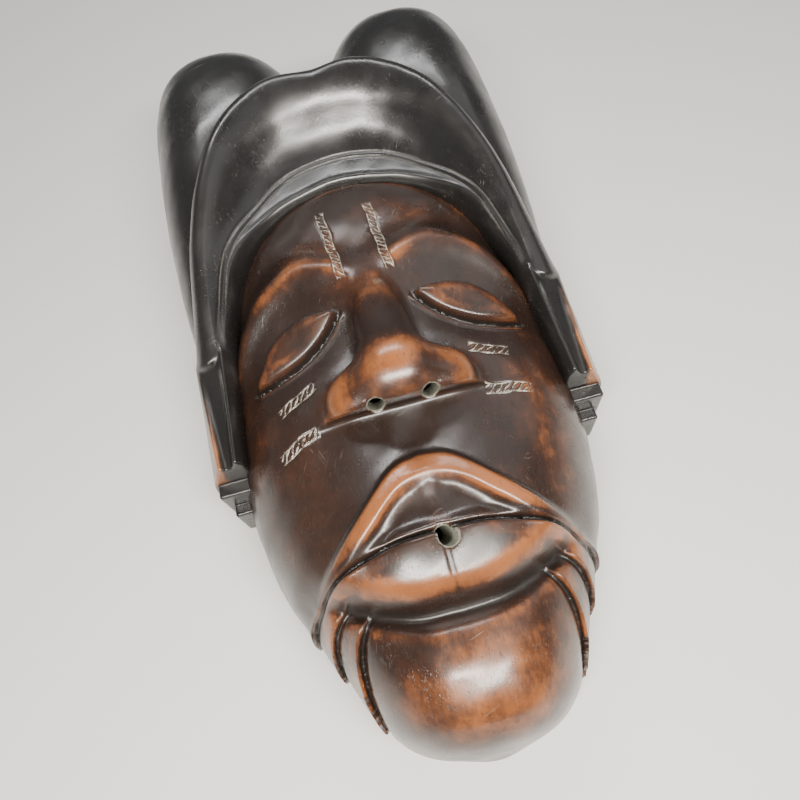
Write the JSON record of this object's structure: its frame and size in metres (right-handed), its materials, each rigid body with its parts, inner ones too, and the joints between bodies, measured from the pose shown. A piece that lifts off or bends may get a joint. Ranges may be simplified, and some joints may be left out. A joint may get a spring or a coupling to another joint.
{
  "type": "carved wooden wall mask",
  "caption": "Hollow-backed carved wooden face mask with a rolled headdress, side lappets and a swinging ring hanger in the back.",
  "frame": {"origin": "middle of the footprint, on the plane of the flat rim at the back of the mask", "axes": "+Z out of the face, +Y from the chin to the crown, +X to the side that is on the right when the face is looked at; the mask lies on its back"},
  "size_m": [0.184, 0.35, 0.094],
  "materials": {
    "face_wood": "dark stain, rubbed through to warm brown on the high spots, waxed",
    "headdress_wood": "near-black stain, burnished to a soft gloss",
    "hanger_brass": "dulled brass plate",
    "screw_steel": "plain steel, tarnished"
  },
  "bodies": {
    "mask": {"forehead": "face_wood", "cheek_left": "face_wood", "cheek_right": "face_wood", "muzzle": "face_wood", "chin": "face_wood", "brow_band": "headdress_wood", "front_roll": "headdress_wood", "crown_lobe_left": "headdress_wood", "crown_lobe_right": "headdress_wood", "lappet_left": "headdress_wood", "lappet_right": "headdress_wood", "lappet_foot_left": "headdress_wood", "lappet_foot_right": "headdress_wood", "hanger_strap": "hanger_brass", "hanger_screw": "screw_steel"},
    "ring": {"hanger_ring": "hanger_brass"}
  },
  "joints": [
    {"name": "ring_swing", "type": "hinge", "parent": "mask", "child": "ring", "pos_m": [0, 0.112, 0.0045], "axis": [-1, 0, 0], "range_deg": [0, 150]}
  ]
}
